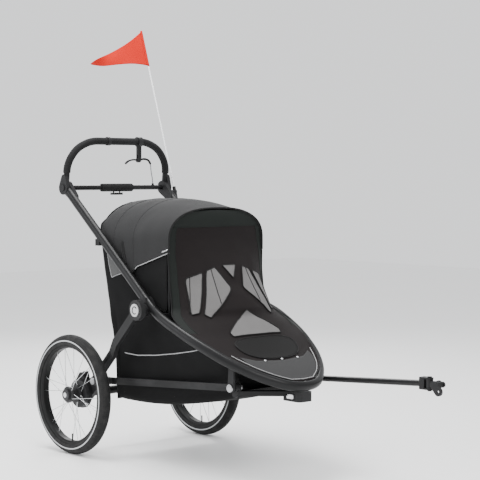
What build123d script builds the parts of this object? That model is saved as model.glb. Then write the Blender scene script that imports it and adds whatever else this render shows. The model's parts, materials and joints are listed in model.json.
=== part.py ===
from build123d import *
import math
import os

# A single-seat child bicycle trailer: two spoked wheels, a folding tube frame with a fabric cabin,
# a pushing handlebar with a brake lever, a tow arm with its hitch, and a safety pennant.
# Millimetres. +X points forward along the tow arm, +Y to the trailer's left, +Z up. All stations
# below are measured from the ground point under the wheel axle; AXLE_X shifts them so that the
# origin lies on the ground under the middle of the whole trailer.

# ---- driving dimensions -------------------------------------------------------------------
AXLE_X = -430.0            # wheel axle's place along the row's X axis
WHEEL_R = 213.0            # outer radius of the tyres
HALF_TRACK = 301.5         # half the distance between the wheels' middle planes
TYRE_W = 48.0              # tyre width
RIM_IN_R = 166.0           # inner radius of the rim
RIM_OUT_R = 178.0          # bead seat radius of the rim
RIM_W = 34.0               # rim width
AXLE_R = 6.0               # radius of the plug-in wheel axles
RUN_GAP = 0.05             # radial running clearance on pins and axles
DRUM_R = 50.0              # radius of the rotating brake drums
HALF_OUT = 334.0           # half the overall width, at the axle release buttons

TUBE_W = 28.0              # main hoop section, side to side
TUBE_H = 34.0              # main hoop section, top to bottom
HOOP_Y = 229.0             # half the spacing of the hoop's two straight sides
JOINT_X, JOINT_Z = -136.0, 947.0      # handlebar joints
JOINT_R = 25.0
FOLD_X, FOLD_Z = 720.0, 300.0         # bolts that the hoop folds about
FOOT_X, FOOT_Z = 80.0, 265.0          # strut feet
LATCH_X, LATCH_Z = 352.0, 536.0       # latch discs at the struts' upper ends
STRUT_T = 16.0             # strut thickness
FOOT_Y = 260.5             # strut middle plane at its foot
TOP_Y = 278.5              # strut middle plane at its latch disc
PIN_R = 8.0                # radius of the fold bolts and strut pins

RAIL_H, RAIL_T = 24.0, 12.0
RAIL_REAR = (96.0, 229.0, 266.0)
RAIL_FRONT = (720.0, 165.0, 300.0)

CABIN_Y = 212.0            # half the cabin's outside width
CLOTH = 3.5                # thickness given to the fabric
SHOULDER_Z = 770.0         # where the cabin's sides start to round into the roof

ARM_R = 10.0               # tow arm radius
ARM_START = Vector(505, 243, 279.5)
ARM_END = Vector(1320, 86, 354.6)
YAW_X, YAW_Y = 1345.0, 81.0           # upright hitch pin
HITCH_Z = 356.5                       # height of the hitch's cross pin
PITCH_X = 1372.0                      # cross pin of the hitch
BIKE_X, BIKE_Z = 1392.0, 338.0        # bore for the bicycle's rear axle
BIKE_AXLE_R = 5.1

POLE_FOOT = Vector(-92, 262, 868)
POLE_TOP = Vector(-322, 262, 1561)
POLE_R = 2.75
FLAG_DROP = 150.0          # height of the pennant along the pole
FLAG_TIP = Vector(-546, 165, 1436)


def write(name, shape):
    """Shift a node from the axle's station to the row frame and save it."""
    export_step(Pos(AXLE_X, 0, 0) * Compound(children=list(shape.solids())), f"parts/{name}.step")


def flipped(shape):
    return mirror(shape, about=Plane.XZ)


def pair(shape):
    """A left-hand piece and its mirror image, as separate solids of one node."""
    return Compound(children=list(shape.solids()) + list(flipped(shape).solids()))


def write_sides(name, shape):
    write(f"{name}_left", shape)
    write(f"{name}_right", flipped(shape))


def rod_y(x, z, radius, y_from, y_to):
    """A round bar along Y."""
    return Pos(x, (y_from + y_to) / 2, z) * Rot(90, 0, 0) * Cylinder(radius, y_to - y_from)


def slab(sketch, y_from, y_to):
    """A sketch drawn as X and Z, given thickness along Y."""
    return Pos(0, y_to, 0) * Rot(90, 0, 0) * extrude(sketch, amount=y_to - y_from)


def outline(*points):
    return make_face(Polyline(*points, close=True))


def disc(x, z, radius):
    return Pos(x, z) * Circle(radius)


def link(*discs):
    """The outline wrapped tightly round some discs given as x, z, radius."""
    edges = ShapeList()
    for x, z, radius in discs:
        edges += disc(x, z, radius).edges()
    return make_hull(edges)


def block(x_from, x_to, y_from, y_to, z_from, z_to):
    box = Box(x_to - x_from, y_to - y_from, z_to - z_from)
    return Pos((x_from + x_to) / 2, (y_from + y_to) / 2, (z_from + z_to) / 2) * box


def bar(start, end, radius):
    """A round bar between two points."""
    run = end - start
    return Plane(origin=start, z_dir=run) * Cylinder(
        radius, run.length, align=(Align.CENTER, Align.CENTER, Align.MIN))


def smooth_path(points, share=0.45):
    """Straight runs joined by the largest arcs that both neighbours of each corner allow."""
    points = [Vector(*p) for p in points]
    radii = []
    for before, here, after in zip(points, points[1:], points[2:]):
        turn = math.radians((here - before).get_angle(after - here))
        shorter = min((here - before).length, (after - here).length)
        radii.append(share * shorter / math.tan(turn / 2))
    return FilletPolyline(*points, radius=radii), radii


def swept(path, profile):
    start = Plane(origin=path @ 0, x_dir=(0, 1, 0), z_dir=path % 0)
    return sweep(start * profile, path=path)


# ---- wheels -------------------------------------------------------------------------------
def wheel_place(shape):
    return Pos(0, HALF_TRACK, WHEEL_R) * shape


def spun(sketch):
    """Turn a sketch drawn as radius and sideways offset about the wheel's axle."""
    return wheel_place(revolve(sketch, axis=Axis.Y))


TYRE_MID_R = 191.0
TYRE_RISE = WHEEL_R - TYRE_MID_R
TYRE_WALL = 3.5


def make_tyre():
    section = Ellipse(TYRE_RISE, TYRE_W / 2) - Ellipse(TYRE_RISE - TYRE_WALL, TYRE_W / 2 - TYRE_WALL)
    bead_cut = Pos(RIM_OUT_R - 10, 0) * Rectangle(20, 60)
    return spun(Pos(TYRE_MID_R, 0) * section - bead_cut)


def make_inner_tube():
    gap = TYRE_WALL + 0.3
    outer = Pos(TYRE_MID_R, 0) * Ellipse(TYRE_RISE - gap, TYRE_W / 2 - gap)
    inner = Pos(TYRE_MID_R, 0) * Ellipse(TYRE_RISE - gap - 1.2, TYRE_W / 2 - gap - 1.2)
    seat = Pos(RIM_OUT_R + 0.3 - 10, 0) * Rectangle(20, 60)
    air = inner - (Pos(RIM_OUT_R + 1.5 - 10, 0) * Rectangle(20, 60))
    stem = wheel_place(Pos(0, 0, -160) * Cylinder(2.6, 37.5))
    return spun(outer - seat - air) + stem


def make_rim():
    half = RIM_W / 2
    outer = outline((RIM_IN_R, -half + 6), (RIM_IN_R + 5, -half), (RIM_OUT_R, -half),
                    (RIM_OUT_R, half), (RIM_IN_R + 5, half), (RIM_IN_R, half - 6))
    hollow = outline((RIM_IN_R + 2, -half + 7), (RIM_IN_R + 6, -half + 2), (RIM_OUT_R - 2, -half + 2),
                     (RIM_OUT_R - 2, half - 2), (RIM_IN_R + 6, half - 2), (RIM_IN_R + 2, half - 7))
    hole = wheel_place(Pos(0, 0, -172) * Cylinder(3.0, 30))
    return spun(outer - hollow) - hole


SPOKES_PER_SIDE = 12
FLANGE_R = 29.0
FLANGE_Y = 17.0            # flange offsets either side of the wheel's middle plane


def make_spokes():
    """Crossed spokes: on each flange every other spoke leans the other way and starts a step out."""
    spokes = []
    for side in (1, -1):
        for k in range(SPOKES_PER_SIDE):
            lean = 1 if k % 2 else -1
            angle = 2 * math.pi * (k + 0.25 * side) / SPOKES_PER_SIDE
            rim_angle = angle + lean * math.radians(24)
            inner_y = side * (FLANGE_Y + 2.2 * lean)
            start = Vector((FLANGE_R + 1.2) * math.cos(angle), inner_y, (FLANGE_R + 1.2) * math.sin(angle))
            end = Vector((RIM_IN_R - 0.6) * math.cos(rim_angle), side * 4, (RIM_IN_R - 0.6) * math.sin(rim_angle))
            spokes.append(wheel_place(bar(start, end, 1.0)))
    return Compound(children=[s.solid() for s in spokes])


BEARING_R, BEARING_W = 14.0, 8.0
BEARING_Y = (-21.0, 17.5)   # inboard faces of the two bearings from the wheel's middle plane


def make_hub():
    """Hub shell with two spoke flanges and, inboard, the open bowl of the drum brake."""
    shell = outline((AXLE_R + 2, -26), (17, -26), (17, 26), (AXLE_R + 2, 26))
    flanges = [outline((15, s * FLANGE_Y - 4), (FLANGE_R, s * FLANGE_Y - 3.5),
                       (FLANGE_R, s * FLANGE_Y + 3.5), (15, s * FLANGE_Y + 4)) for s in (1, -1)]
    web = outline((15, -30), (DRUM_R, -30), (DRUM_R, -26), (15, -25))
    skirt = outline((DRUM_R - 4, -38.5), (DRUM_R, -38.5), (DRUM_R, -28), (DRUM_R - 4, -28))
    seats = [outline((AXLE_R, y), (BEARING_R, y), (BEARING_R, y + BEARING_W), (AXLE_R, y + BEARING_W))
             for y in BEARING_Y]
    section = shell + flanges[0] + flanges[1] + web + skirt - seats[0] - seats[1]
    neck_cut = outline((0, -40), (AXLE_R + 2, -40), (AXLE_R + 2, 40), (0, 40))
    return spun(section - neck_cut)


def make_bearings():
    inner_r = AXLE_R + RUN_GAP
    rings = [outline((inner_r, y), (BEARING_R, y), (BEARING_R, y + BEARING_W), (inner_r, y + BEARING_W))
             for y in BEARING_Y]
    return Compound(children=[spun(r).solid() for r in rings])


def make_hub_cap():
    return spun(outline((11, 26), (18, 26), (20, 27.5), (20, 30), (18, 31.5), (11, 31.5)))


write_sides("tyre", make_tyre())
write_sides("inner_tube", make_inner_tube())
write_sides("rim", make_rim())
write_sides("spokes", make_spokes())
write_sides("hub", make_hub())
write_sides("hub_bearings", make_bearings())
write_sides("hub_cap", make_hub_cap())

# ---- axle, brakes and rails ---------------------------------------------------------------
BEAM_R = 15.0
BRACKET_IN, BRACKET_OUT = 236.0, 252.0

beam = rod_y(0, WHEEL_R, BEAM_R, -BRACKET_IN, BRACKET_IN)
for side in (1, -1):
    beam -= rod_y(0, WHEEL_R, AXLE_R, min(side * 190, side * 240), max(side * 190, side * 240))
write("axle_beam", beam)

stub = rod_y(0, WHEEL_R, AXLE_R, 192, HALF_TRACK + 19.5)
stub += rod_y(0, WHEEL_R, 9.5, HALF_TRACK - 35, HALF_TRACK - 26.5)
stub -= rod_y(0, WHEEL_R, 3.0, HALF_TRACK + 10, HALF_TRACK + 30)
write("axle_stubs", pair(stub))

bracket_face = link((0, WHEEL_R, 36), (FOOT_X, FOOT_Z, 22)) + link((FOOT_X, FOOT_Z, 20), (138, 270, 13))
bracket_face += link((0, WHEEL_R, 30), (2, 282, 9))
bracket = slab(bracket_face, BRACKET_IN, BRACKET_OUT)
bracket -= slab(link((30, 226, 9), (58, 246, 7)), BRACKET_IN - 1, BRACKET_IN + 9)
bracket -= rod_y(0, WHEEL_R, AXLE_R, 230, 260)
bracket -= rod_y(FOOT_X, FOOT_Z, PIN_R, 230, 260)
write("axle_brackets", pair(bracket))

plate_face = link((0, WHEEL_R, 52.5), (-4, 276, 12))
brakes = slab(plate_face, BRACKET_OUT, 262.5)
brakes -= slab(disc(0, WHEEL_R, 45), 258, 264)
for z_side in (1, -1):
    shoe = disc(0, WHEEL_R, 44.5) - disc(0, WHEEL_R, 37)
    shoe &= Pos(0, WHEEL_R + z_side * 30) * Rectangle(82, 50)
    brakes += slab(shoe, 258, 269)
brakes -= rod_y(0, WHEEL_R, AXLE_R, 250, 290)
write("drum_brakes", pair(brakes))


def rail_bar():
    start, end = Vector(*RAIL_REAR), Vector(*RAIL_FRONT)
    run = end - start
    side = Vector(0, 0, 1).cross(run).normalized()
    frame = Plane(origin=start, x_dir=run, z_dir=side)
    body = Rectangle(run.length, RAIL_H, align=(Align.MIN, Align.CENTER))
    body += Pos(run.length, 0) * Circle(RAIL_H / 2 + 3)
    return frame * extrude(body, amount=RAIL_T / 2, both=True)


rail = rail_bar() - rod_y(FOLD_X, FOLD_Z, PIN_R, 140, 190)
rail -= slab(bracket_face, BRACKET_IN - 12, BRACKET_OUT)
write("side_rails", pair(rail))

EAR_IN, EAR_OUT = 149.0, 157.0
LUG_IN, LUG_OUT = 174.5, 182.5
fold_bolt = rod_y(FOLD_X, FOLD_Z, PIN_R, EAR_IN - 4, LUG_OUT + 0.4)
fold_bolt += rod_y(FOLD_X, FOLD_Z, 13, LUG_OUT + 0.4, LUG_OUT + 5)
fold_bolt += rod_y(FOLD_X, FOLD_Z, 13, EAR_IN - 8, EAR_IN)
strut_pin = rod_y(FOOT_X, FOOT_Z, PIN_R, BRACKET_IN - 3, FOOT_Y + STRUT_T / 2 + 0.5)
strut_pin += rod_y(FOOT_X, FOOT_Z, 12, FOOT_Y + STRUT_T / 2 + 0.5, FOOT_Y + STRUT_T / 2 + 4)
strut_pin += rod_y(FOOT_X, FOOT_Z, 12, BRACKET_IN - 6, BRACKET_IN)
write("frame_bolts", Compound(children=list(pair(fold_bolt).solids()) + list(pair(strut_pin).solids())))

# ---- front yoke with the receiver for a front wheel ---------------------------------------
YOKE_LOW, YOKE_TOP = 272.0, 288.0
RECEIVER_X = 845.0
RECEIVER_R = 11.0
RECEIVER_DEPTH = 26.0
RECEIVER_LOW = 256.0

yoke_face = outline((700, -EAR_OUT), (724, -EAR_OUT), (842, -26), (842, 26), (724, EAR_OUT), (700, EAR_OUT))
yoke_face -= outline((724, -116), (796, -26), (796, 26), (724, 116))
yoke = Pos(0, 0, YOKE_LOW) * extrude(yoke_face, amount=YOKE_TOP - YOKE_LOW)
for side in (1, -1):
    ear = slab(link((FOLD_X - 8, YOKE_LOW + 5, 12), (FOLD_X, FOLD_Z, 16)), EAR_IN, EAR_OUT)
    yoke += ear if side > 0 else flipped(ear)
receiver = block(RECEIVER_X - 43, RECEIVER_X + 43, -31, 31, RECEIVER_LOW, YOKE_TOP)
yoke += fillet(receiver.edges().filter_by(Axis.Z), 14)
yoke -= Pos(RECEIVER_X, 0, RECEIVER_LOW + RECEIVER_DEPTH / 2) * Cylinder(RECEIVER_R, RECEIVER_DEPTH)
yoke -= block(RECEIVER_X - 17, RECEIVER_X + 17, -48, -20, 264, 280)
for side in (1, -1):
    yoke -= rod_y(FOLD_X, FOLD_Z, PIN_R, min(side * 140, side * 170), max(side * 140, side * 170))
    recess = rod_y(FOLD_X, FOLD_Z, 13, EAR_IN - 8, EAR_IN)
    yoke -= recess if side > 0 else flipped(recess)
write("front_yoke", yoke)

button = block(RECEIVER_X - 16, RECEIVER_X + 16, -34, -24, 265, 279)
write("receiver_button", fillet(button.edges().filter_by(Axis.Y), 5))

# ---- tow arm and hitch --------------------------------------------------------------------
arm_way = (ARM_END - ARM_START).normalized()
socket_end = ARM_START + arm_way * 132
socket = bar(ARM_START - arm_way * 6, socket_end, ARM_R + 4.5) - bar(ARM_START, socket_end + arm_way, ARM_R)
bridge = block(536, 608, 178, 226, 272, 300) - rail_bar()
bridge -= slab(outline((500, 200), (660, 200), (660, 320), (500, 320)), 150, 176)
socket += bridge - bar(ARM_START, ARM_END, ARM_R + 0.01)
keep = socket.solids().sort_by(SortBy.VOLUME)[-1]
lock_x = 622.0
lock_point = ARM_START + arm_way * ((lock_x - ARM_START.X) / arm_way.X)
LOCK_R = 4.0
lock_hole = Pos(*lock_point) * Cylinder(LOCK_R + RUN_GAP, 60)
write("tow_socket", keep - lock_hole)

arm = bar(ARM_START, ARM_END, ARM_R) - bar(ARM_START + arm_way * 2, ARM_END - arm_way * 2, ARM_R - 2)
fork = block(1312, 1332, YAW_Y - 12, YAW_Y + 13, HITCH_Z - 19, HITCH_Z + 19)
for z_side in (1, -1):
    ear = Pos(YAW_X, YAW_Y, HITCH_Z + z_side * 16.5) * Cylinder(12, 5)
    fork += ear + block(1326, YAW_X, YAW_Y - 12, YAW_Y + 12, HITCH_Z + z_side * 16.5 - 2.5,
                        HITCH_Z + z_side * 16.5 + 2.5)
YAW_PIN_R = 4.0
fork += Pos(YAW_X, YAW_Y, HITCH_Z) * Cylinder(YAW_PIN_R, 44)
for z_side in (1, -1):
    fork += Pos(YAW_X, YAW_Y, HITCH_Z + z_side * 21) * Cylinder(7, 3)
write("tow_arm", arm + fork - lock_hole)

lock_pin = Pos(lock_point.X, lock_point.Y, lock_point.Z + 1) * Cylinder(LOCK_R, 42)
lock_pin += Pos(lock_point.X, lock_point.Y, lock_point.Z + 26) * Cylinder(9, 8)
write("tow_pin", lock_pin)

PITCH_PIN_R = 5.0
knuckle = Pos(YAW_X, YAW_Y, HITCH_Z) * Cylinder(11, 27)
knuckle += block(YAW_X, PITCH_X, YAW_Y - 7, YAW_Y + 7, HITCH_Z - 9, HITCH_Z + 9)
knuckle += rod_y(PITCH_X, HITCH_Z, 11, YAW_Y - 9, YAW_Y + 9)
knuckle -= Pos(YAW_X, YAW_Y, HITCH_Z) * Cylinder(YAW_PIN_R + RUN_GAP, 50)
knuckle -= rod_y(PITCH_X, HITCH_Z, PITCH_PIN_R + RUN_GAP, YAW_Y - 20, YAW_Y + 20)
write("hitch_knuckle", knuckle)

ADAPTER_IN, ADAPTER_FACE = YAW_Y - 9.5, YAW_Y - 17.0
adapter = slab(link((PITCH_X, HITCH_Z, 12), (BIKE_X, BIKE_Z, 14)), ADAPTER_FACE, ADAPTER_IN)
adapter += slab(disc(PITCH_X, HITCH_Z, 12), YAW_Y + 9.5, YAW_Y + 15)
adapter += slab(link((1388, 362, 4), (1388, 352, 4)), ADAPTER_FACE, YAW_Y + 15)
adapter += slab(link((PITCH_X, HITCH_Z, 10), (1388, 357, 8)), YAW_Y + 9.5, YAW_Y + 15)
adapter += rod_y(PITCH_X, HITCH_Z, PITCH_PIN_R, YAW_Y - 12, YAW_Y + 18)
adapter -= rod_y(BIKE_X, BIKE_Z, BIKE_AXLE_R, 40, 90)
write("axle_adapter", adapter)

# ---- struts with their latch discs --------------------------------------------------------
strut_run = Vector(LATCH_X - FOOT_X, 0, LATCH_Z - FOOT_Z)
strut_len = strut_run.length
strut_angle = math.degrees(math.atan2(strut_run.Z, strut_run.X))
STRUT_HALF = 15.0
DISC_R = 35.0
BUTTON_R = 22.0


def strut_blade():
    """Seen from above the strut steps outward between its foot and its latch disc."""
    inner, outer = FOOT_Y - STRUT_T / 2, FOOT_Y + STRUT_T / 2
    step = TOP_Y - FOOT_Y
    plan = outline((0, inner), (150, inner), (215, inner + step), (strut_len, inner + step),
                   (strut_len, outer + step), (215, outer + step), (150, outer), (0, outer))
    blade = Pos(0, 0, -STRUT_HALF) * extrude(plan, amount=2 * STRUT_HALF)
    blade += rod_y(0, 0, STRUT_HALF, inner, outer)
    blade += rod_y(strut_len, 0, DISC_R, inner + step, outer + step + 2)
    blade -= rod_y(strut_len, 0, BUTTON_R + 0.3, outer + step - 4, outer + step + 3)
    blade -= rod_y(0, 0, PIN_R + RUN_GAP, inner - 1, outer + 1)
    blade -= block(40, 140, outer - 3, outer + 1, -5, 5)
    return Pos(FOOT_X, 0, FOOT_Z) * Rot(0, -strut_angle, 0) * blade


write_sides("strut", strut_blade())
button_in = TOP_Y + STRUT_T / 2 - 1
write_sides("latch_button", rod_y(LATCH_X, LATCH_Z, BUTTON_R, button_in, button_in + 7))

# ---- main hoop ----------------------------------------------------------------------------
HOOP_CORNERS = [(JOINT_X, HOOP_Y, JOINT_Z), (354, 228, 549), (458, 258, 511), (604, 243, 446),
                (728, 198, 384), (810, 142, 343), (884, 56, 308)]
hoop_points = HOOP_CORNERS + [(x, -y, z) for x, y, z in reversed(HOOP_CORNERS)]
hoop_path, _ = smooth_path(hoop_points)
whole_hoop = swept(hoop_path, Ellipse(TUBE_W / 2, TUBE_H / 2))
inside_hoop = swept(hoop_path, Ellipse(TUBE_W / 2 - 2, TUBE_H / 2 - 2))
joint_zone = rod_y(JOINT_X, JOINT_Z, JOINT_R + 1, -260, 260)
hoop = whole_hoop - inside_hoop - joint_zone
write("main_hoop", hoop)

HUB_IN, HUB_SPLIT, KNUCKLE_OUT = 214.5, 228.8, 243.5
neck = link((JOINT_X, JOINT_Z, JOINT_R), (JOINT_X + 42, JOINT_Z - 35, 17))
hub = slab(neck, HUB_IN, HUB_SPLIT) - whole_hoop
hub = max(hub.solids(), key=lambda s: s.volume)
write("joint_hubs", pair(hub))

cross = rod_y(JOINT_X, JOINT_Z, 9, -HUB_IN, HUB_IN)
CABLE_Y = 172.0
cable_stop = Pos(JOINT_X, CABLE_Y, JOINT_Z + 11) * Cylinder(4.5, 8)
write("cross_tube", cross + cable_stop)

GRIP_R, GRIP_HALF = 15.0, 71.0
grip = fillet(rod_y(JOINT_X, JOINT_Z, GRIP_R, -GRIP_HALF, GRIP_HALF).edges(), 3)
grip -= rod_y(JOINT_X, JOINT_Z, 9, -90, 90)
lever = block(JOINT_X - 11, JOINT_X + 11, -24, 24, JOINT_Z - 27, JOINT_Z - 19)
lever = fillet(lever.edges().filter_by(Axis.Z), 6)
for y in (-14, 14):
    grip -= Pos(JOINT_X, y, JOINT_Z - 13) * Cylinder(2.6, 12)
    lever += Pos(JOINT_X, y, JOINT_Z - 16) * Cylinder(2.5, 7)
write("cross_grip", grip)
write("fold_lever", lever)

saddle = slab(link((LATCH_X, LATCH_Z, 24), (338, 556, 22)), HUB_IN, 248)
saddle += rod_y(LATCH_X, LATCH_Z, 20, 246, TOP_Y - STRUT_T / 2 - 0.6)
saddle = (saddle - whole_hoop).solids().sort_by(SortBy.VOLUME)[-1]
lug = slab(link((FOLD_X, FOLD_Z, 14), (FOLD_X + 4, 380, 12)), LUG_IN, LUG_OUT)
lug -= rod_y(FOLD_X, FOLD_Z, PIN_R + RUN_GAP, LUG_IN - 2, LUG_OUT + 2)
lug = (lug - whole_hoop).solids().sort_by(SortBy.VOLUME)[-1]
write("hoop_brackets", Compound(children=list(pair(saddle).solids()) + list(pair(lug).solids())))

# ---- cabin hoops and fabric ---------------------------------------------------------------
BOW_R = 6.0
BOW_Y = CABIN_Y - CLOTH - BOW_R - 0.5
FRONT_X = 430.0            # plane of the front bow
REAR_X = 72.0              # plane of the rear bow
REAR_LOW = (128.0, 386.0)  # lower end of the rear panel, as X and Z
REAR_TOP = (25.0, 900.0)   # its upper end, at the roof


def arch_path(x, half, foot_z, rise):
    """Upright legs and a half-elliptical top in a plane across the trailer."""
    across = Plane(origin=(x, 0, SHOULDER_Z), x_dir=(0, 1, 0), z_dir=(1, 0, 0))
    top = across * EllipticalCenterArc((0, 0), half, rise, start_angle=0, arc_size=180)
    legs = [Line((x, half, foot_z), (x, half, SHOULDER_Z)), Line((x, -half, SHOULDER_Z), (x, -half, foot_z))]
    return Wire([legs[0].edge(), top.edge(), legs[1].edge()])


def bow(x, foot_z, rise):
    path = arch_path(x, BOW_Y, foot_z, rise)
    return sweep(Plane(origin=(x, BOW_Y, foot_z), z_dir=(0, 0, 1)) * Circle(BOW_R), path=path)


def bow_feet(x, low, high):
    foot = block(x - 12, x + 12, BOW_Y - 10, 242, low, high) - whole_hoop
    return pair(foot.solids().sort_by(SortBy.VOLUME)[-1]).solids()


front_bow = bow(FRONT_X, 528, 101)
rear_bow = bow(REAR_X, 768, 117)
feet = bow_feet(FRONT_X, 505, 527.5) + bow_feet(REAR_X, 744, 767.5)
write("bows", Compound(children=[front_bow.solid(), rear_bow.solid()] + feet))
foot_slots = [block(x - 12.3, x + 12.3, side * 215 - 25, side * 215 + 25, low - 0.3, high + 0.3)
              for side in (1, -1) for x, low, high in ((FRONT_X, 505, 527.5), (REAR_X, 744, 767.5))]


def tunnel(grow):
    """The cabin's cross-section carried from its rear edge to the front bow."""
    stations = [(24, 127), (156, 141), (300, 139), (FRONT_X + 8, 112)]
    half = CABIN_Y + grow
    faces = []
    for x, rise in stations:
        across = Plane(origin=(x, 0, SHOULDER_Z), x_dir=(0, 1, 0), z_dir=(1, 0, 0))
        drop = SHOULDER_Z - 480
        top = EllipticalCenterArc((0, 0), half, rise + grow, start_angle=0, arc_size=180)
        base = Polyline((-half, 0), (-half, -drop), (half, -drop), (half, 0))
        faces.append(across * make_face(Curve(children=[top.edge()] + base.edges())))
    return loft(Sketch(children=faces).faces(), ruled=True)


cabin_shell = tunnel(0) - tunnel(-CLOTH)
CANOPY_SIDE = [(57, 762), (92, 762), (232, 648), (262, 676), (445, 733), (445, 960), (17.4, 960)]
SIDE_PANEL = [(233, 646), (352, 549), (408, 531), (428, 531), (428, 727), (263, 675.4)]
canopy = (cabin_shell & slab(outline(*CANOPY_SIDE), -300, 300)) - foot_slots
canopy = canopy.solids().sort_by(SortBy.VOLUME)[-1]
write("canopy", canopy)
panel = block(200, 445, CABIN_Y - CLOTH, CABIN_Y, 480, 740) & slab(outline(*SIDE_PANEL), 150, 300)
write("side_panels", pair(panel))

# front cover: at each height its outline is an arc between the two side edges
COVER = [(876, 440, 64, 444), (850, 438, 146, 452), (770, 436, 208, 462), (650, 440, 210, 508), (546, 474, 210, 578),
         (490, 504, 214, 625), (430, 628, 206, 690), (375, 740, 158, 782), (338, 822, 96, 848)]


def cover_solid(inset):
    faces = []
    for z, edge_x, half, mid_x in COVER:
        half_in = half - inset
        front = ThreePointArc((edge_x - 2 * inset, -half_in), (mid_x - inset, 0), (edge_x - 2 * inset, half_in))
        back_x = edge_x - 2 * inset - 6 * (1 if inset == 0 else 5)
        back = Polyline((edge_x - 2 * inset, half_in), (back_x, half_in), (back_x, -half_in),
                        (edge_x - 2 * inset, -half_in))
        faces.append(Pos(0, 0, z) * make_face(Curve(children=[front.edge()] + back.edges())))
    return loft(Sketch(children=faces).faces(), ruled=True)


cover = cover_solid(0) - cover_solid(CLOTH)
cover = cover - whole_hoop - cabin_shell - front_bow
cover = cover.solids().sort_by(SortBy.VOLUME)[-1]
write("front_cover", cover)

rear_face = outline(REAR_TOP, (REAR_TOP[0] + CLOTH, REAR_TOP[1]), (REAR_LOW[0] + CLOTH, REAR_LOW[1]), REAR_LOW)
rear_panel = slab(rear_face, -CABIN_Y, CABIN_Y)
inside_half = CABIN_Y - CLOTH - 0.5
arch_face = Pos(0, SHOULDER_Z) * Ellipse(inside_half, 127 - CLOTH - 0.5) + Pos(0, 570) * Rectangle(2 * inside_half, 400)
write("rear_panel", rear_panel & (Plane(origin=(0, 0, 0), x_dir=(0, 1, 0), z_dir=(1, 0, 0)) * extrude(arch_face, amount=200)))

# tub: (x, bottom height, bottom half width, top height, top half width)
TUB = [(56, 202, 199, 763, 209.5), (240, 200, 196, 618, 210), (350, 203, 184, 530, 210),
       (450, 213, 164, 486, 216), (560, 231, 138, 440, 214), (650, 252, 112, 398, 190),
       (700, 270, 92, 372, 160)]


def tub_solid(inset):
    faces = []
    for k, (x, low, half_low, high, half_high) in enumerate(TUB):
        at = x - inset * (1 if k in (0, len(TUB) - 1) else 0)
        lift = 40 if inset else 0
        grow = (half_high - half_low) / (high - low)
        top_half = half_high - inset + grow * lift
        across = Plane(origin=(at, 0, 0), x_dir=(0, 1, 0), z_dir=(1, 0, 0))
        faces.append(across * outline((-half_low + inset, low + inset), (half_low - inset, low + inset),
                                      (top_half, high + lift), (-top_half, high + lift)))
    return loft(Sketch(children=faces).faces(), ruled=True)


rear_x = REAR_LOW[0]
tub_side = outline((rear_x, 190), (720, 190), (720, 900), (36, 900), (rear_x + CLOTH + 0.8, REAR_LOW[1]),
                   (rear_x + CLOTH + 0.8, REAR_LOW[1] - 0.6), (rear_x, REAR_LOW[1] - 0.6))
tub = (tub_solid(0) - tub_solid(CLOTH)) & slab(tub_side, -300, 300)
rear_wall = tub_solid(0) & slab(outline((rear_x, 190), (rear_x + CLOTH, 190), (rear_x + CLOTH, REAR_LOW[1] - 0.6),
                                        (rear_x, REAR_LOW[1] - 0.6)), -300, 300)
tub = tub + rear_wall - foot_slots
write("tub", tub)

# ---- inside the cabin ---------------------------------------------------------------------
floor_face = outline((150, -178), (340, -168), (510, -126), (510, 126), (340, 168), (150, 178))
boards = [Pos(0, 0, 229) * extrude(floor_face, amount=6)]
boards.append(block(152, 392, -174, 174, 290, 298))
for side in (1, -1):
    boards.append(block(160, 384, side * 160 - 4, side * 160 + 4, 235, 290))
shelf = boards[0]
for piece in boards[1:]:
    shelf += piece
write("seat_board", shelf)

cushion = block(160, 398, -172, 172, 298.5, 330)
write("seat_base", fillet(cushion.edges(), 10))
back_face = outline((166, 334), (194, 338), (122, 716), (94, 711))
back_pad = slab(back_face, -176, 176)
write("seat_back", fillet(back_pad.edges().filter_by(Axis.Y), 8))

lean = Vector(122 - 194, 0, 716 - 338).normalized()
straps = []
for y in (-58, 58):
    low, high = Vector(196.5, y, 352), Vector(196.5, y, 352) + lean * 330
    out = Vector(lean.Z, 0, -lean.X)
    frame = Plane(origin=low, x_dir=(0, 1, 0), z_dir=lean)
    straps.append(frame * Box(30, 2.4, 330, align=(Align.CENTER, Align.CENTER, Align.MIN)))
for y_from, y_to in ((-150, -24), (24, 150)):
    straps.append(block(214, 244, y_from, y_to, 330.5, 333))
buckle = fillet(block(208, 252, -23, 23, 330.8, 345).edges(), 4)
write("harness", Compound(children=[s.solid() for s in straps] + [buckle.solid()]))

# ---- handlebar ----------------------------------------------------------------------------
BAR_R, FOAM_R = 11.0, 13.5
BAR_CORNERS = [(-135, HOOP_Y, 962), (-128, HOOP_Y, 1036), (-123.5, 190, 1092), (-121, 128, 1119)]
bar_points = BAR_CORNERS + [(x, -y, z) for x, y, z in reversed(BAR_CORNERS)]
bar_path, _ = smooth_path(bar_points)
whole_bar = swept(bar_path, Circle(BAR_R))
handle_zone = rod_y(JOINT_X, JOINT_Z, JOINT_R + 1, -260, 260)
write("handle_tube", whole_bar - swept(bar_path, Circle(BAR_R - 2)) - handle_zone)
foam = swept(bar_path, Circle(FOAM_R)) - whole_bar
foam -= block(-180, -80, -260, 260, 900, 1002)
write("handle_grip", foam)

knuckle_face = link((JOINT_X, JOINT_Z, JOINT_R), (JOINT_X + 3, JOINT_Z + 36, 13))
knuckle = slab(knuckle_face, HUB_SPLIT + 0.5, KNUCKLE_OUT) - whole_bar
knuckle -= rod_y(JOINT_X, JOINT_Z, 12.3, KNUCKLE_OUT - 5, KNUCKLE_OUT + 2)
knuckle = knuckle.solids().sort_by(SortBy.VOLUME)[-1]
write("handle_knuckles", pair(knuckle))
write_sides("joint_button", rod_y(JOINT_X, JOINT_Z, 12, KNUCKLE_OUT - 1.5, KNUCKLE_OUT + 3.5))

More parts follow.
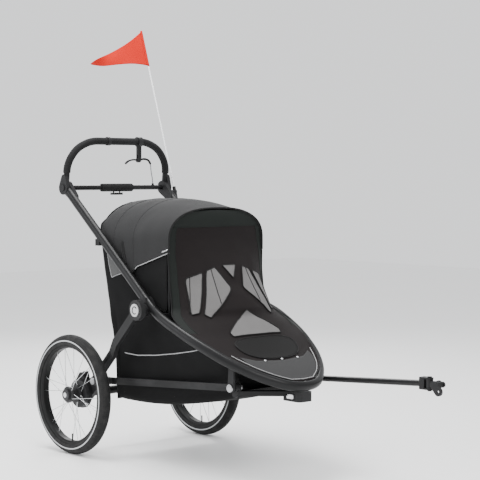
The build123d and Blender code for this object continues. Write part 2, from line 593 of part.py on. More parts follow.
TOP_X, TOP_Z = -121.0, 1119.0
LEVER_Y, LEVER_Z = 92.0, 1050.0
clamp = rod_y(TOP_X, TOP_Z, 18, 84, 104)
clamp += block(TOP_X - 6, TOP_X + 6, 86, 102, 1058, 1108)
clamp += Pos(TOP_X, LEVER_Y, LEVER_Z) * Rot(0, 90, 0) * Cylinder(9, 12)
clamp += block(TOP_X - 6, TOP_X + 6, 86, 100, LEVER_Z, 1062)
guide_path, _ = smooth_path([(TOP_X, 98, 1052), (TOP_X, 122, 1055), (TOP_X, 140, 1050), (TOP_X - 1, 150, 1036)])
guide = sweep(Plane(origin=guide_path @ 0, z_dir=guide_path % 0) * Circle(4), path=guide_path)
clamp = clamp + guide - rod_y(TOP_X, TOP_Z, FOAM_R, 70, 120)
LEVER_PIN_R = 3.0
clamp -= block(TOP_X - 3.3, TOP_X + 3.3, 74, 90, 1030, 1070)
clamp -= Pos(TOP_X, 90, LEVER_Z) * Rot(0, 90, 0) * Cylinder(8, 6.6)
clamp += Pos(TOP_X, 88, LEVER_Z) * Rot(0, 90, 0) * Cylinder(LEVER_PIN_R, 12)
strap_ring = rod_y(TOP_X, TOP_Z, 16, -56, -44) - rod_y(TOP_X, TOP_Z, FOAM_R, -60, -40)
write("brake_bracket", Compound(children=[clamp.solids().sort_by(SortBy.VOLUME)[-1], strap_ring.solid()]))

blade_path, _ = smooth_path([(TOP_X, 88, 1050), (TOP_X, 66, 1052), (TOP_X, 44, 1047), (TOP_X, 30, 1036)])
blade = sweep(Plane(origin=blade_path @ 0, x_dir=(1, 0, 0), z_dir=blade_path % 0) * Rectangle(5.6, 6), path=blade_path)
blade += Pos(TOP_X, 88, LEVER_Z) * Rot(0, 90, 0) * Cylinder(6, 5.6)
blade -= Pos(TOP_X, 88, LEVER_Z) * Rot(0, 90, 0) * Cylinder(LEVER_PIN_R + RUN_GAP, 12)
write("brake_lever", blade)

CABLE_ROUTE = [(-122.3, 150.7, 1035), (-124, 153, 1019), (-128.5, 160, 999), (-133, 168, 980), (-135.6, 171.6, 962.7)]
cable_path, cable_radii = smooth_path(CABLE_ROUTE)
print("brake cable arc radii", [round(r) for r in cable_radii])
cable = sweep(Plane(origin=cable_path @ 0, z_dir=cable_path % 0) * Circle(2), path=cable_path)
write("brake_cable", cable)

# ---- wheel release buttons and the safety pennant -----------------------------------------
release = rod_y(0, WHEEL_R, 9, HALF_OUT - 3.5, HALF_OUT) + rod_y(0, WHEEL_R, 5.4, HALF_TRACK + 23, HALF_OUT - 3)
release += rod_y(0, WHEEL_R, 2.9, HALF_TRACK + 18, HALF_TRACK + 24)
write_sides("axle_button", release)

pole_way = (POLE_TOP - POLE_FOOT).normalized()
pole = bar(POLE_FOOT, POLE_TOP, POLE_R)
write("flag_pole", pole)
sleeve = bar(POLE_FOOT - pole_way * 5, POLE_FOOT + pole_way * 85, 6.5)
clip = block(-122, -96, 236, 259, 902, 936)
sleeve = (sleeve + clip - pole - whole_hoop - slab(disc(JOINT_X, JOINT_Z, 27), 225, 252))
write("flag_socket", sleeve.solids().sort_by(SortBy.VOLUME)[-1])

flag_low = POLE_TOP - pole_way * FLAG_DROP
flag_face = Face(Wire.make_polygon([POLE_TOP, flag_low, FLAG_TIP]))
flag = extrude(flag_face, amount=0.9, both=True) - bar(POLE_FOOT, POLE_TOP + pole_way * 10, POLE_R + 0.2)
write("pennant", flag.solids().sort_by(SortBy.VOLUME)[-1])
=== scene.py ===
import json
import math
import bpy
import bmesh
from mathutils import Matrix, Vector, noise
from mathutils.geometry import delaunay_2d_cdt


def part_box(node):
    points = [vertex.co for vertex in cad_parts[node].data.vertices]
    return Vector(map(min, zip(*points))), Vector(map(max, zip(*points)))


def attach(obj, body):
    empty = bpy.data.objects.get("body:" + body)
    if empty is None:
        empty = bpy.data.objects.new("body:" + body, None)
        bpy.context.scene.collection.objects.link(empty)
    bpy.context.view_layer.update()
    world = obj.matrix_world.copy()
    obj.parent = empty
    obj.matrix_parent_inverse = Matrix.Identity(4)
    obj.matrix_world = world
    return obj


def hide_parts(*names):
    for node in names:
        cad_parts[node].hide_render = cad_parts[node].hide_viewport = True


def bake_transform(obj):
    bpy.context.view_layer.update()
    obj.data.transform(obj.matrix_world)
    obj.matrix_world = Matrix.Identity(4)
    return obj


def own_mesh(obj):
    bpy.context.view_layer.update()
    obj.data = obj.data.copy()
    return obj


# Looks of the child bicycle trailer. Lengths in the tables below are millimetres from the ground
# point under the wheel axle, as in the CAD source; at() turns them into metres in the row frame.

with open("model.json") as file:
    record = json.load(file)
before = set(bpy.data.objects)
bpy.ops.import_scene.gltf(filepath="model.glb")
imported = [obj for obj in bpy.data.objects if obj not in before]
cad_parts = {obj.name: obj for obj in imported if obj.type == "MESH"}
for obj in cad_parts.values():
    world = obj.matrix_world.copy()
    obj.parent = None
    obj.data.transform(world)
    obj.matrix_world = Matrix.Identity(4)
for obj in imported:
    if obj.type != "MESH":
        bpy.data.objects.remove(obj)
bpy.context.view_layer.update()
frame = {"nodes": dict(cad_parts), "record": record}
AXLE = sum(corner.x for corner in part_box("axle_beam")) / 2
WHEEL_Z = sum(corner.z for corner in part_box("axle_beam")) / 2


def at(x, y, z):
    return Vector((AXLE + x / 1000, y / 1000, z / 1000))


# ---- camera, light and floor ---------------------------------------------------------------
def aim(obj, direction):
    obj.rotation_euler = direction.to_track_quat("-Z", "Y").to_euler()


camera = bpy.data.objects.new("camera", bpy.data.cameras.new("camera"))
bpy.context.collection.objects.link(camera)
camera.location = at(4362, -3366, 996)     # fitted to the four wheels in the picture
ahead = Vector((-0.660, 0.745, -0.093)).normalized()
right = ahead.cross(Vector((0, 0, 1))).normalized()
up = right.cross(ahead)
SHIFT_LEFT, SHIFT_UP = 0.1216, 0.0490     # puts the trailer where the picture has it
aim(camera, ahead - SHIFT_LEFT * right + SHIFT_UP * up)
camera.data.lens = 112
bpy.context.scene.camera = camera


def softbox(name, place, target, size, power, tint=(1, 1, 1)):
    lamp = bpy.data.lights.new(name, "AREA")
    lamp.shape = "RECTANGLE"
    lamp.size, lamp.size_y = size
    lamp.energy = power
    lamp.color = tint
    obj = bpy.data.objects.new(name, lamp)
    bpy.context.collection.objects.link(obj)
    obj.location = place
    aim(obj, Vector(target) - Vector(place))


softbox("top_light", (-0.5, -0.5, 3.4), (0.1, 0, 0.2), (1.8, 1.8), 150)
softbox("key_light", (2.6, -1.2, 2.4), (-0.2, 0, 0.6), (1.8, 1.8), 60, (1, 0.985, 0.96))
softbox("side_light", (-1.6, -3.2, 1.6), (-0.2, 0, 0.6), (2.2, 1.6), 42, (0.97, 0.985, 1))
softbox("back_light", (-2.8, 1.8, 2.2), (-0.3, 0, 0.6), (1.6, 1.6), 45)
world = bpy.data.worlds.new("world")
bpy.context.scene.world = world
world.use_nodes = True
world.node_tree.nodes["Background"].inputs["Color"].default_value = (0.93, 0.94, 0.95, 1)
world.node_tree.nodes["Background"].inputs["Strength"].default_value = 1.35


# ---- materials -----------------------------------------------------------------------------
class Graph:
    """A node material built round one Principled shader."""

    def __init__(self, name):
        self.material = bpy.data.materials.new(name)
        self.material.use_nodes = True
        self.tree = self.material.node_tree
        self.tree.nodes.clear()
        self.shader = self.node("ShaderNodeBsdfPrincipled")
        self.node("ShaderNodeOutputMaterial", Surface=self.shader.outputs["BSDF"])

    def put(self, node, key, value):
        socket = node.inputs[key]
        if isinstance(value, bpy.types.NodeSocket):
            self.tree.links.new(value, socket)
        else:
            socket.default_value = value

    def node(self, kind, settings=(), **values):
        node = self.tree.nodes.new(kind)
        for key, value in dict(settings).items():
            setattr(node, key, value)
        for key, value in values.items():
            self.put(node, key.replace("_", " "), value)
        return node

    def calc(self, operation, *values):
        node = self.node("ShaderNodeMath", {"operation": operation})
        for k, value in enumerate(values):
            self.put(node, k, value)
        return node.outputs[0]

    def noise(self, vector, scale, detail=4.0, rough=0.55):
        node = self.node("ShaderNodeTexNoise", Vector=vector, Scale=scale, Detail=detail, Roughness=rough)
        return node.outputs["Fac"]

    def coords(self, kind="Object"):
        return self.node("ShaderNodeTexCoord").outputs[kind]

    def stretch(self, vector, scale):
        node = self.node("ShaderNodeMapping", Vector=vector)
        node.inputs["Scale"].default_value = scale
        return node.outputs[0]

    def ramp(self, value, low, high, out_low=0.0, out_high=1.0):
        node = self.node("ShaderNodeMapRange", {"interpolation_type": "SMOOTHSTEP"}, Value=value)
        for key, number in (("From Min", low), ("From Max", high), ("To Min", out_low), ("To Max", out_high)):
            node.inputs[key].default_value = number
        return node.outputs[0]

    def mix(self, fac, a, b):
        node = self.node("ShaderNodeMix", {"data_type": "RGBA"})
        self.put(node, "Factor", fac)
        for key, colour in ((6, a), (7, b)):
            self.put(node, key, colour if isinstance(colour, bpy.types.NodeSocket) else (*colour, 1))
        return node.outputs[2]

    def bump(self, height, depth, strength=1.0, below=None):
        node = self.node("ShaderNodeBump", Height=height, Distance=depth, Strength=strength)
        if below is not None:
            self.put(node, "Normal", below)
        return node.outputs["Normal"]

    def finish(self, **values):
        for key, value in values.items():
            if key == "Base_Color" and not isinstance(value, bpy.types.NodeSocket):
                value = (*value, 1)
            self.put(self.shader, key.replace("_", " "), value)
        return self.material


def shade(colour, factor):
    return tuple(min(1.0, c * factor) for c in colour)


def paint(name, colour, rough, coat=0.05):
    """Powder-coated or lacquered metal with orange peel, uneven gloss and rubbed edges."""
    g = Graph(name)
    where = g.coords()
    edge = g.ramp(g.node("ShaderNodeNewGeometry").outputs["Pointiness"], 0.52, 0.60)
    patchy = g.noise(where, 9.0)
    edge = g.calc("MULTIPLY", edge, g.ramp(patchy, 0.4, 0.65))
    body = g.mix(g.ramp(patchy, 0.3, 0.7), shade(colour, 0.88), shade(colour, 1.14))
    fine = g.noise(where, 850.0, 2.0)
    smudge = g.noise(where, 34.0, 5.0)
    normal = g.bump(fine, 0.00012, 0.5)
    return g.finish(Base_Color=g.mix(edge, body, shade(colour, 1.9)),
                    Roughness=g.ramp(smudge, 0.25, 0.75, rough - 0.06, rough + 0.1),
                    Specular_IOR_Level=0.15, Coat_Weight=coat, Coat_Roughness=0.3, Normal=normal)


def metal(name, colour, rough, grain=(60, 900, 60)):
    """Bare metal with fine drawn or turned lines."""
    g = Graph(name)
    where = g.coords()
    lines = g.noise(g.stretch(where, grain), 1.0, 3.0)
    dirt = g.noise(where, 45.0, 5.0)
    tone = g.mix(g.ramp(dirt, 0.42, 0.7), colour, shade(colour, 0.78))
    return g.finish(Base_Color=tone, Metallic=1.0, Roughness=g.ramp(lines, 0.3, 0.7, rough - 0.08, rough + 0.12),
                    Normal=g.bump(lines, 0.00005, 0.5))


def plastic(name, colour, rough, grain=1300.0, depth=0.0001):
    """Moulded plastic with a fine eroded grain and slightly lighter handled edges."""
    g = Graph(name)
    where = g.coords()
    cells = g.node("ShaderNodeTexVoronoi", Vector=where, Scale=grain).outputs["Distance"]
    cloudy = g.noise(where, 22.0, 5.0)
    edge = g.ramp(g.node("ShaderNodeNewGeometry").outputs["Pointiness"], 0.52, 0.62, 0.0, 0.7)
    body = g.mix(g.ramp(cloudy, 0.3, 0.7), shade(colour, 0.85), shade(colour, 1.18))
    return g.finish(Base_Color=g.mix(edge, body, shade(colour, 1.8)),
                    Roughness=g.ramp(cloudy, 0.3, 0.7, rough - 0.07, rough + 0.08), Specular_IOR_Level=0.18,
                    Normal=g.bump(cells, depth, 0.6))


def foam(name, colour):
    g = Graph(name)
    where = g.coords()
    pores = g.node("ShaderNodeTexVoronoi", Vector=where, Scale=900.0).outputs["Distance"]
    soft = g.noise(where, 160.0, 6.0)
    tone = g.mix(g.ramp(g.noise(where, 14.0), 0.3, 0.7), shade(colour, 0.8), shade(colour, 1.25))
    normal = g.bump(soft, 0.0006, 0.5, g.bump(pores, 0.0003, 0.6))
    return g.finish(Base_Color=tone, Roughness=0.82, Specular_IOR_Level=0.18, Sheen_Weight=0.03, Normal=normal)


def weave_height(g, where, pitch):
    """Over-and-under height of a plain weave, its threads pitch metres apart."""
    parts = g.node("ShaderNodeSeparateXYZ", Vector=where)
    turns = [g.calc("SINE", g.calc("MULTIPLY", parts.outputs[k], math.pi / pitch)) for k in (0, 1)]
    return g.calc("MULTIPLY_ADD", g.calc("MULTIPLY", turns[0], turns[1]), 0.5, 0.5)


def cloth(name, colour, pitch, rough=0.85, sheen=0.04, fleck=1.35, crease=0.0022, coating=0.0, uv=True):
    """Woven polyester: plain weave, thread flecks, faint creases and a soft sheen."""
    g = Graph(name)
    where = g.coords("UV" if uv else "Object")
    height = weave_height(g, where, pitch)
    threads = g.noise(g.stretch(where, (260, 1500, 260)), 1.0, 2.0)
    threads_across = g.noise(g.stretch(where, (1500, 260, 260)), 1.0, 2.0)
    both = g.calc("MULTIPLY", g.calc("ADD", threads, threads_across), 0.5)
    body = g.mix(g.ramp(both, 0.38, 0.62), shade(colour, 1 / fleck), shade(colour, fleck))
    faded = g.noise(where, 5.0, 3.0)
    body = g.mix(g.ramp(faded, 0.35, 0.75, 0.0, 0.35), body, shade(colour, 1.3))
    folds = g.noise(g.stretch(where, (7, 11, 9)), 1.0, 3.0, 0.45)
    normal = g.bump(height, pitch * 0.12, 0.5, g.bump(folds, crease, 0.8))
    return g.finish(Base_Color=body, Roughness=rough, Specular_IOR_Level=0.12, Sheen_Weight=sheen,
                    Sheen_Roughness=0.45, Coat_Weight=coating, Coat_Roughness=0.45, Normal=normal)


def netting(name, thread, gap, pitch, sheen=0.05):
    """Knitted mesh: light threads round small holes painted darker, painted shade of the dim cabin seen through them.
    """
    g = Graph(name)
    where = g.coords("UV")
    cells = g.node("ShaderNodeTexVoronoi", {"feature": "DISTANCE_TO_EDGE"}, Vector=where, Scale=1 / pitch,
                   Randomness=0.12)
    rim = g.ramp(cells.outputs["Distance"], 0.10, 0.42)
    tone = g.mix(g.noise(where, 12.0), shade(thread, 0.9), shade(thread, 1.12))
    normal = g.bump(g.calc("SUBTRACT", 1.0, rim), 0.0005, 0.6, g.bump(g.noise(where, 9.0), 0.0006, 0.5))
    # The gap colour fills the middle of each hole: painted shade of the cabin behind the net.
    return g.finish(Base_Color=g.mix(rim, tone, gap), Roughness=0.7, Specular_IOR_Level=0.1,
                    Sheen_Weight=sheen, Normal=normal)


def webbing(name, colour):
    """Woven strap: ribs across, a herringbone fleck and fuzzy sheen."""
    g = Graph(name)
    where = g.coords("UV")
    ribs = g.calc("SINE", g.calc("MULTIPLY", g.node("ShaderNodeSeparateXYZ", Vector=where).outputs[0], 4200.0))
    flecks = g.noise(g.stretch(where, (900, 300, 300)), 1.0, 2.0)
    body = g.mix(g.ramp(flecks, 0.35, 0.65), shade(colour, 0.7), shade(colour, 1.5))
    return g.finish(Base_Color=body, Roughness=0.75, Specular_IOR_Level=0.15, Sheen_Weight=0.04,
                    Normal=g.bump(ribs, 0.00025, 0.7))


HALF_TRACK = 0.3015     # from the middle plane to a tyre's own middle


def tyre_rubber():
    """Black rubber: staggered tread blocks, ribbed shoulders and a reflective sidewall band."""
    g = Graph("tyre_rubber")
    where = g.coords()
    parts = g.node("ShaderNodeSeparateXYZ", Vector=where)
    x = g.calc("SUBTRACT", parts.outputs[0], AXLE)
    z = g.calc("SUBTRACT", parts.outputs[2], WHEEL_Z)
    offset = g.calc("SUBTRACT", g.calc("ABSOLUTE", parts.outputs[1]), HALF_TRACK)
    radius = g.calc("SQRT", g.calc("ADD", g.calc("MULTIPLY", x, x), g.calc("MULTIPLY", z, z)))
    angle = g.calc("ARCTAN2", z, x)
    lane = g.calc("SINE", g.calc("MULTIPLY", offset, 2 * math.pi / 0.0125))
    step = g.calc("MULTIPLY", g.calc("SIGN", lane), math.pi / 2)
    blocks = g.calc("SINE", g.calc("ADD", g.calc("MULTIPLY", angle, 96.0), step))
    lanes, gaps = g.ramp(g.calc("ABSOLUTE", lane), 0.1, 0.35), g.ramp(g.calc("ABSOLUTE", blocks), 0.1, 0.4)
    grooves = g.calc("MINIMUM", lanes, gaps)
    tread = g.ramp(radius, 0.2035, 0.2065)
    ribs = g.ramp(g.calc("SINE", g.calc("MULTIPLY", angle, 220.0)), -0.2, 0.3)
    shoulder = g.calc("MULTIPLY", g.ramp(radius, 0.198, 0.199), g.calc("SUBTRACT", 1.0, tread))
    ridges = g.calc("MULTIPLY", ribs, g.calc("MULTIPLY", shoulder, 0.5))
    height = g.calc("ADD", g.calc("MULTIPLY", grooves, tread), ridges)
    band = g.calc("MULTIPLY", g.ramp(radius, 0.1895, 0.1899), g.ramp(radius, 0.1940, 0.1944, 1.0, 0.0))
    dust = g.noise(where, 40.0, 6.0)
    rubber = g.mix(g.ramp(dust, 0.35, 0.75), (0.007, 0.007, 0.0075), (0.020, 0.0195, 0.019))
    colour = g.mix(band, rubber, g.mix(g.noise(where, 300.0), (0.36, 0.37, 0.38), (0.5, 0.51, 0.52)))
    normal = g.bump(height, 0.0022, 0.9, g.bump(g.noise(where, 700.0), 0.0002, 0.5))
    return g.finish(Base_Color=colour, Roughness=g.ramp(band, 0.0, 1.0, 0.72, 0.4), Specular_IOR_Level=0.25,
                    Normal=normal)


LOOKS = {
    "tyre_rubber": tyre_rubber(),
    "tube_rubber": foam("tube_rubber", (0.02, 0.02, 0.02)),
    "rim_black": paint("rim_black", (0.006, 0.006, 0.0062), 0.42, 0.0),
    "spoke_steel": metal("spoke_steel", (0.62, 0.63, 0.64), 0.24, (400, 400, 400)),
    "hub_black": paint("hub_black", (0.02, 0.02, 0.021), 0.38),
    "bearing_steel": metal("bearing_steel", (0.6, 0.6, 0.6), 0.25),
    "frame_paint": paint("frame_paint", (0.0075, 0.0075, 0.008), 0.34, 0.06),
    "rail_paint": paint("rail_paint", (0.012, 0.012, 0.0124), 0.42, 0.03),
    "strut_paint": paint("strut_paint", (0.014, 0.014, 0.0145), 0.38, 0.06),
    "cast_black": plastic("cast_black", (0.008, 0.008, 0.0085), 0.48, 700.0, 0.0002),
    "bolt_steel": metal("bolt_steel", (0.42, 0.42, 0.43), 0.34, (500, 500, 500)),
    "black_plastic": plastic("black_plastic", (0.009, 0.009, 0.0095), 0.42),
    "silver_button": metal("silver_button", (0.74, 0.74, 0.75), 0.26, (700, 60, 700)),
    "board_plastic": plastic("board_plastic", (0.03, 0.03, 0.031), 0.55),
    "pad_fabric": cloth("pad_fabric", (0.10, 0.10, 0.104), 0.0026, uv=False, crease=0.002),
    "webbing": webbing("webbing", (0.022, 0.022, 0.023)),
    "tub_fabric": cloth("tub_fabric", (0.0035, 0.0035, 0.0037), 0.0018, 0.8, 0.01),
    "canopy_fabric": cloth("canopy_fabric", (0.0175, 0.0175, 0.018), 0.0022, 0.86, 0.05, 1.5),
    # the second colour of this net is the painted shade seen through its holes
    "cover_fabric": netting("cover_fabric", (0.0100, 0.0078, 0.0080), (0.004, 0.0032, 0.0033), 0.0024, sheen=0.01),
    "foam_grip": foam("foam_grip", (0.009, 0.009, 0.0095)),
    "cable_housing": plastic("cable_housing", (0.20, 0.20, 0.21), 0.4, 2000.0),
    "pole_grey": plastic("pole_grey", (0.50, 0.50, 0.51), 0.35, 1800.0),
    "flag_fabric": cloth("flag_fabric", (0.42, 0.009, 0.003), 0.0030, 0.7, 0.0, 1.06, 0.001),
    # looks that only drawn pieces use
    "rim_cloth": cloth("rim_cloth", (0.0075, 0.0092, 0.0083), 0.0018, 0.72, 0.02),
    # the second colour of each net below is the painted shade seen through its holes
    "window_net": netting("window_net", (0.135, 0.131, 0.131), (0.07, 0.068, 0.068), 0.0030),
    "vent_net": netting("vent_net", (0.10, 0.10, 0.10), (0.02, 0.02, 0.02), 0.0034),
    "nose_cloth": cloth("nose_cloth", (0.030, 0.030, 0.0306), 0.0020, 0.8, 0.03, 1.25, crease=0.0004),
    "piping": webbing("piping", (0.28, 0.28, 0.285)),
    "binding": webbing("binding", (0.007, 0.007, 0.0072)),
    "thread": webbing("thread", (0.045, 0.045, 0.046)),
    "badge": cloth("badge", (0.004, 0.0038, 0.0038), 0.0012, 0.6, 0.0, crease=0.0002, coating=0.03),
    "reflective": metal("reflective", (0.68, 0.68, 0.70), 0.34, (900, 900, 900)),
}
SLOT_OF = {entry["node"]: entry["material_slot"] for entry in frame["record"]["subparts"]}
for node, slot_name in SLOT_OF.items():
    obj = frame["nodes"][node]
    obj.data.materials.clear()
    obj.data.materials.append(LOOKS[slot_name])


# ---- mesh helpers --------------------------------------------------------------------------
def piece(name, points, faces, look, uvs=None):
    mesh = bpy.data.meshes.new(name)
    mesh.from_pydata([tuple(p) for p in points], [], faces)
    mesh.materials.append(LOOKS[look])
    mesh.polygons.foreach_set("use_smooth", [True] * len(mesh.polygons))
    if uvs is not None:
        layer = mesh.uv_layers.new(name="cloth")
        for loop in mesh.loops:
            layer.data[loop.index].uv = uvs[loop.vertex_index]
    obj = bpy.data.objects.new(name, mesh)
    bpy.context.collection.objects.link(obj)
    return obj


def apply_all(obj):
    """Turn the object's modifiers into its mesh."""
    shape = bpy.data.meshes.new_from_object(obj.evaluated_get(bpy.context.evaluated_depsgraph_get()))
    obj.modifiers.clear()
    obj.data = shape
    return obj


CLOTH = 0.0015            # thickness of the cabin cloth
UP_ACROSS = (0.5, 0.01)   # how far a surface is sampled to find its own directions
ALONG_BOTH = (0.5, 0.5)   # the same for surfaces whose two values are both millimetres


def thicken(obj, thickness, smooth_levels=0):
    if smooth_levels:
        obj.modifiers.new("smooth", "SUBSURF").levels = smooth_levels
        obj.modifiers["smooth"].render_levels = smooth_levels
    if thickness:
        solid = obj.modifiers.new("thick", "SOLIDIFY")
        solid.thickness = thickness
        solid.offset = -1
    return apply_all(obj)


def grid(name, surface, us, vs, look, thickness=CLOTH):
    """A cloth panel from a surface of two values; its texture runs in metres along both."""
    points = [surface(u, v) for u in us for v in vs]
    wide = len(vs)
    faces = [(i * wide + j, (i + 1) * wide + j, (i + 1) * wide + j + 1, i * wide + j + 1)
             for i in range(len(us) - 1) for j in range(wide - 1)]
    middle = wide // 2
    along = [0.0]
    for i in range(1, len(us)):
        along.append(along[-1] + (points[i * wide + middle] - points[(i - 1) * wide + middle]).length)
    uvs = []
    for i in range(len(us)):
        across = 0.0
        row = [0.0]
        for j in range(1, wide):
            across += (points[i * wide + j] - points[i * wide + j - 1]).length
            row.append(across)
        uvs += [(along[i], value - row[middle]) for value in row]
    return thicken(piece(name, points, faces, look, uvs), thickness)


def spread(values, count):
    """Evenly filled stations that keep every value given."""
    out = []
    for a, b in zip(values, values[1:]):
        steps = max(1, round(count * (b - a) / (values[-1] - values[0])))
        out += [a + (b - a) * k / steps for k in range(steps)]
    return out + [values[-1]]


def inside(point, polygon):
    hit = False
    for (x0, y0), (x1, y1) in zip(polygon, polygon[1:] + polygon[:1]):
        if (y0 > point[1]) != (y1 > point[1]) and point[0] < (x1 - x0) * (point[1] - y0) / (y1 - y0) + x0:
            hit = not hit
    return hit


def rounded(polygon, share=0.22, steps=5):
    """Cut each corner of a polygon with a short curve."""
    out = []
    for before, here, after in zip(polygon[-1:] + polygon[:-1], polygon, polygon[1:] + polygon[:1]):
        a = [here[k] + (before[k] - here[k]) * share for k in (0, 1)]
        b = [here[k] + (after[k] - here[k]) * share for k in (0, 1)]
        for step in range(steps + 1):
            t = step / steps
            out.append(tuple((1 - t) ** 2 * a[k] + 2 * t * (1 - t) * here[k] + t * t * b[k] for k in (0, 1)))
    return out


def patch_mesh(polygon, cell):
    """Triangles filling a flat polygon, with points no further apart than the cell."""
    edge_points = []
    for a, b in zip(polygon, polygon[1:] + polygon[:1]):
        steps = max(1, math.ceil(max(abs(b[0] - a[0]) / cell[0], abs(b[1] - a[1]) / cell[1])))
        edge_points += [(a[0] + (b[0] - a[0]) * k / steps, a[1] + (b[1] - a[1]) * k / steps) for k in range(steps)]
    count = len(edge_points)
    low = [min(p[k] for p in polygon) for k in (0, 1)]
    high = [max(p[k] for p in polygon) for k in (0, 1)]
    inner = []
    rows = int((high[1] - low[1]) / cell[1])
    for j in range(1, rows + 1):
        for i in range(1, int((high[0] - low[0]) / cell[0]) + 1):
            p = (low[0] + cell[0] * (i + 0.5 * (j % 2) - 0.25), low[1] + cell[1] * j)
            near = any(abs(p[0] - q[0]) < 0.45 * cell[0] and abs(p[1] - q[1]) < 0.45 * cell[1] for q in edge_points)
            if not near and inside(p, polygon):
                inner.append(p)
    ring = [(k, (k + 1) % count) for k in range(count)]
    flat = [Vector((p[0] / cell[0], p[1] / cell[1])) for p in edge_points + inner]
    found = delaunay_2d_cdt(flat, ring, [], 1, 1e-7)
    return [Vector((p[0] * cell[0], p[1] * cell[1])) for p in found[0]], found[2]


SIGN = {"cover_point": -1, "tub_point": -1, "tub_front_point": -1}   # surfaces whose own normal looks inward


def lifted(surface, u, v, height, step=UP_ACROSS):
    """A point that stands off the surface by height in metres."""
    here = surface(u, v)
    along = surface(u + step[0], v) - here
    across = surface(u, v + step[1]) - here
    return here + along.cross(across).normalized() * height * SIGN.get(surface.__name__, 1)


def patch(name, surface, polygon, cell, look, height, thickness=0.0008, step=UP_ACROSS):
    """A flat-cut panel laid on a surface, its outline given in the surface's own values."""
    flat, faces = patch_mesh(polygon, cell)
    points = [lifted(surface, p[0], p[1], height, step) for p in flat]
    u, v = flat[0]
    scale = ((surface(u + step[0], v) - surface(u, v)).length / step[0],
             (surface(u, v + step[1]) - surface(u, v)).length / step[1])
    uvs = [(p[0] * scale[0], p[1] * scale[1]) for p in flat]
    obj = piece(name, points, [tuple(f) for f in faces], look, uvs)
    return thicken(outward(obj, surface, flat[0], step), thickness)


def outward(obj, surface, probe, step=UP_ACROSS):
    """Make the faces look the way that lifted() goes."""
    away = lifted(surface, probe[0], probe[1], 1.0, step) - surface(*probe)
    if sum(face.normal.dot(away) for face in obj.data.polygons) < 0:
        obj.data.flip_normals()
    return obj


def tube_mesh(points, radius, sides=8, flat=1.0, closed=False):
    """Points, faces and texture places of a round or flattened tube along a line."""
    count = len(points)
    rings, uvs, run = [], [], 0.0
    ahead_of = [(points[(k + 1) % count] if closed or k + 1 < count else points[k])
                - (points[k - 1] if closed or k else points[k]) for k in range(count)]
    side = ahead_of[0].orthogonal().normalized()
    for k, point in enumerate(points):
        way = ahead_of[k].normalized()
        side = (side - way * side.dot(way)).normalized()
        other = way.cross(side)
        if k:
            run += (point - points[k - 1]).length
        for j in range(sides):
            turn = 2 * math.pi * j / sides
            rings.append(point + side * math.cos(turn) * radius + other * math.sin(turn) * radius * flat)
            uvs.append((run, radius * turn))
    spans = count if closed else count - 1
    faces = [(a * sides + j, a * sides + (j + 1) % sides, (a + 1) % count * sides + (j + 1) % sides,
              (a + 1) % count * sides + j) for a in range(spans) for j in range(sides)]
    if not closed:
        faces += [tuple(range(sides))[::-1], tuple((count - 1) * sides + j for j in range(sides))]
    return rings, faces, uvs


def joined(name, parts, look):
    """One piece from several sets of points, faces and texture places."""
    points, faces, uvs = [], [], []
    for part_points, part_faces, part_uvs in parts:
        start = len(points)
        points += part_points
        faces += [tuple(start + k for k in face) for face in part_faces]
        uvs += part_uvs
    return piece(name, points, faces, look, uvs)


def dense(line, step):
    """More points along a line, no further apart than step in its own units."""
    out = []
    for a, b in zip(line, line[1:]):
        count = max(1, math.ceil(math.dist(a, b) / step))
        out += [tuple(p + (q - p) * k / count for p, q in zip(a, b)) for k in range(count)]
    return out + [tuple(line[-1])]


def along_surface(surface, line, spacing, height, step=UP_ACROSS, closed=False):
    """A line of surface values as evenly spaced points that stand off the surface."""
    values = list(line) + ([line[0]] if closed else [])
    rough = [lifted(surface, u, v, height, step) for u, v in values]
    out = [rough[0]]
    for a, b in zip(zip(values, rough), zip(values[1:], rough[1:])):
        steps = max(1, math.ceil((b[1] - a[1]).length / spacing))
        for k in range(1, steps + 1):
            u, v = (a[0][i] + (b[0][i] - a[0][i]) * k / steps for i in (0, 1))
            out.append(lifted(surface, u, v, height, step))
    return out[:-1] if closed else out


def stitches(lines, length=0.0034, gap=0.0022, radius=0.0005):
    """Short thread loops laid end to end along each line."""
    parts = []
    for line in lines:
        run, start, points = 0.0, 0.0, [line[0]]
        for a, b in zip(line, line[1:]):
            span = (b - a).length
            while start + length <= run + span and span > 0:
                if start >= run:
                    p = a + (b - a) * ((start - run) / span)
                    q = a + (b - a) * ((start + length - run) / span)
                    parts.append(tube_mesh([p, (p + q) / 2 + Vector((0, 0, 0.0001)), q], radius, 4))
                start += length + gap
            run += span
    return parts


# ---- surfaces of the cabin -------------------------------------------------------------------
def curve_value(keys, values, t):
    """A smooth curve through the values at their keys."""
    k = max(0, min(len(keys) - 2, sum(1 for key in keys if key <= t) - 1))
    step = keys[k + 1] - keys[k]
    s = (t - keys[k]) / step

    def slope(j):
        a, b = max(0, j - 1), min(len(keys) - 1, j + 1)
        return (values[b] - values[a]) / (keys[b] - keys[a]) * step

    return ((2 * s ** 3 - 3 * s * s + 1) * values[k] + (s ** 3 - 2 * s * s + s) * slope(k)
            + (3 * s * s - 2 * s ** 3) * values[k + 1] + (s ** 3 - s * s) * slope(k + 1))


def straight_value(pairs, t):
    for (a, p), (b, q) in zip(pairs, pairs[1:]):
        if t <= b:
            return p + (q - p) * (t - a) / (b - a)
    return pairs[-1][1]


def ease(t):
    t = max(0.0, min(1.0, t))
    return t * t * (3 - 2 * t)


SHOULDER = 770.0
CABIN_HALF = 212.0
ROOF_X = (24, 156, 300, 440)
ROOF_RISE = (127, 141, 139, 110)
REAR_LINE = ((202, 128), (386, 128), (762, 52.7), (900, 25))


def ripple(point, size, depth):
    return noise.noise(Vector(point) / size) * depth


def rear_shift(x, z, from_x):
    """How far cloth near the back is moved so that its edge follows the sloping rear panel."""
    return (straight_value(REAR_LINE, z) - from_x) * (1 - ease((x - from_x) / 110))


